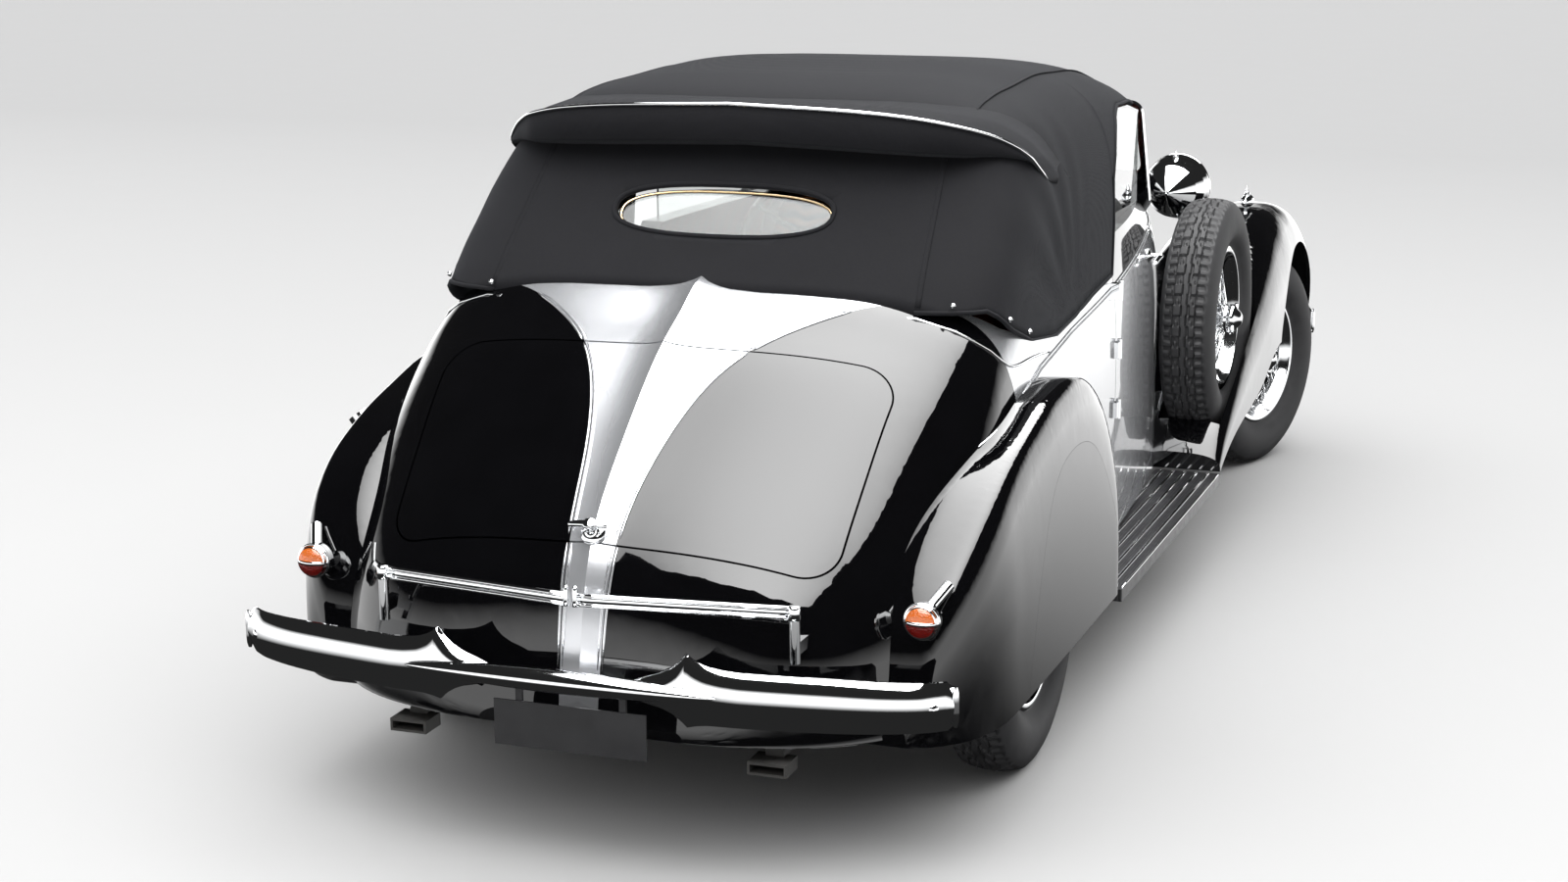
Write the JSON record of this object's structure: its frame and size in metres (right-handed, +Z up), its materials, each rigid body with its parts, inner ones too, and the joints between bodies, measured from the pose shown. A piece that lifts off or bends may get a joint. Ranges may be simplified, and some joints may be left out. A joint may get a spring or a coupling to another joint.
{
  "type": "vintage convertible car",
  "caption": "Drophead touring car with a folding cloth hood, wire wheels, wing-mounted spares, rear-hinged doors, hinged bonnet and boot lid, and bowed bumpers.",
  "frame": {"origin": "on the ground under the middle of the overall box", "axes": "+Z up, nose along -Y, tail along +Y, the car's left side along +X"},
  "size_m": [1.787, 4.9498, 1.6401],
  "materials": {
    "coach_black": "high gloss coach enamel",
    "tyre_rubber": "matt",
    "wheel_silver": "bright wire wheel",
    "hood_cloth": "double-texture hood duck",
    "seat_leather": "pleated hide",
    "clear_glass": "clear",
    "bright_chrome": "polished",
    "chassis_black": "satin black",
    "engine_iron": "painted iron",
    "dash_wood": "polished",
    "wheel_rim_black": "gloss"
  },
  "bodies": {
    "body": {"bonnet_hinge": "bright_chrome", "bonnet_sides": "coach_black", "chassis_frame": "chassis_black", "cowl": "coach_black", "dashboard": "dash_wood", "door_hinges": "bright_chrome", "engine_block": "engine_iron", "exhaust_pipes": "chassis_black", "floor_pan": "chassis_black", "front_axle": "chassis_black", "front_bumper": "bright_chrome", "front_seats": "seat_leather", "front_wings": "coach_black", "fuel_filler_cap": "bright_chrome", "grille": "chassis_black", "headlamp_lenses": "clear_glass", "headlamps": "bright_chrome", "hood_top": "hood_cloth", "leaf_springs": "chassis_black", "licence_plate": "chassis_black", "parking_lamps": "bright_chrome", "rack_posts": "bright_chrome", "radiator_core": "chassis_black", "radiator_shell": "bright_chrome", "rear_axle": "chassis_black", "rear_body": "coach_black", "rear_bumper": "bright_chrome", "rear_seat": "seat_leather", "rear_window_glass": "clear_glass", "rear_wings": "coach_black", "running_boards": "coach_black", "spare_tyres": "tyre_rubber", "spare_wheels": "wheel_silver", "steering_column": "chassis_black", "tail_lamps": "bright_chrome", "wheel_skirts": "coach_black", "windscreen_frame": "bright_chrome", "windscreen_glass": "clear_glass"},
    "right_door": {"door_right": "coach_black", "door_glass_right": "clear_glass"},
    "left_door": {"door_left": "coach_black", "door_glass_left": "clear_glass"},
    "right_bonnet": {"bonnet_right": "coach_black"},
    "left_bonnet": {"bonnet_left": "coach_black"},
    "boot_lid": {"boot_lid": "coach_black"},
    "right_rack_arm": {"rack_arm_right": "bright_chrome"},
    "left_rack_arm": {"rack_arm_left": "bright_chrome"},
    "right_knuckle": {"knuckle_right": "chassis_black"},
    "left_knuckle": {"knuckle_left": "chassis_black"},
    "track_rod": {"track_rod": "chassis_black"},
    "steering_wheel": {"steering_wheel": "wheel_rim_black"},
    "right_front_wheel": {"wheel_front_right": "wheel_silver", "tyre_front_right": "tyre_rubber"},
    "left_front_wheel": {"wheel_front_left": "wheel_silver", "tyre_front_left": "tyre_rubber"},
    "right_rear_wheel": {"wheel_rear_right": "wheel_silver", "tyre_rear_right": "tyre_rubber"},
    "left_rear_wheel": {"wheel_rear_left": "wheel_silver", "tyre_rear_left": "tyre_rubber"}
  },
  "joints": [
    {"name": "steer_left", "type": "hinge", "parent": "body", "child": "left_knuckle", "pos_m": [0.64, -1.883, 0.38], "axis": [0, 0, 1], "range_deg": [-12, 48]},
    {"name": "steer_right", "type": "hinge", "parent": "body", "child": "right_knuckle", "pos_m": [-0.64, -1.883, 0.38], "axis": [0, 0, 1], "range_deg": [-12, 48]},
    {"name": "track_rod_pivot", "type": "hinge", "parent": "left_knuckle", "child": "track_rod", "pos_m": [0.68635, -1.74034, 0.3117], "axis": [0, 0, 1], "range_deg": [-48, 12]},
    {"name": "steering_wheel_turn", "type": "hinge", "parent": "body", "child": "steering_wheel", "pos_m": [0.36, -0.15, 1.02], "axis": [0, 0.8777, 0.4793], "range_deg": [-180, 690]},
    {"name": "spin_front_left", "type": "hinge", "parent": "left_knuckle", "child": "left_front_wheel", "pos_m": [0.70467, -1.90401, 0.38], "axis": [0.9511, -0.309, 0], "continuous": true},
    {"name": "spin_front_right", "type": "hinge", "parent": "right_knuckle", "child": "right_front_wheel", "pos_m": [-0.70467, -1.86199, 0.38], "axis": [0.9511, -0.309, 0], "continuous": true},
    {"name": "spin_rear_left", "type": "hinge", "parent": "body", "child": "left_rear_wheel", "pos_m": [0.742, 1.437, 0.38], "axis": [1, 0, 0], "continuous": true},
    {"name": "spin_rear_right", "type": "hinge", "parent": "body", "child": "right_rear_wheel", "pos_m": [-0.742, 1.437, 0.38], "axis": [1, 0, 0], "continuous": true},
    {"name": "door_left_hinge", "type": "hinge", "parent": "body", "child": "left_door", "pos_m": [0.7485, 0.342, 0.8], "axis": [0, 0, 1], "range_deg": [0, 70]},
    {"name": "door_right_hinge", "type": "hinge", "parent": "body", "child": "right_door", "pos_m": [-0.7485, 0.342, 0.8], "axis": [0, 0, -1], "range_deg": [0, 70]},
    {"name": "bonnet_left_hinge", "type": "hinge", "parent": "body", "child": "left_bonnet", "pos_m": [0, -0.744, 1.1835], "axis": [0, -0.9991, -0.043], "range_deg": [0, 60]},
    {"name": "bonnet_right_hinge", "type": "hinge", "parent": "body", "child": "right_bonnet", "pos_m": [0, -0.744, 1.1835], "axis": [0, 0.9991, 0.043], "range_deg": [0, 60]},
    {"name": "boot_lid_hinge", "type": "hinge", "parent": "body", "child": "boot_lid", "pos_m": [0, 1.8252, 1.10427], "axis": [1, 0, 0], "range_deg": [0, 60]},
    {"name": "rack_arm_left_swing", "type": "hinge", "parent": "body", "child": "left_rack_arm", "pos_m": [0.502, 2.298, 0.613], "axis": [0, 0, -1], "range_deg": [0, 90]},
    {"name": "rack_arm_right_swing", "type": "hinge", "parent": "body", "child": "right_rack_arm", "pos_m": [-0.502, 2.298, 0.613], "axis": [0, 0, 1], "range_deg": [0, 90]}
  ],
  "couplings": [
    {"joint": "steer_right", "follows": "steer_left", "ratio": 1},
    {"joint": "track_rod_pivot", "follows": "steer_left", "ratio": -1},
    {"joint": "steering_wheel_turn", "follows": "steer_left", "ratio": 14}
  ]
}
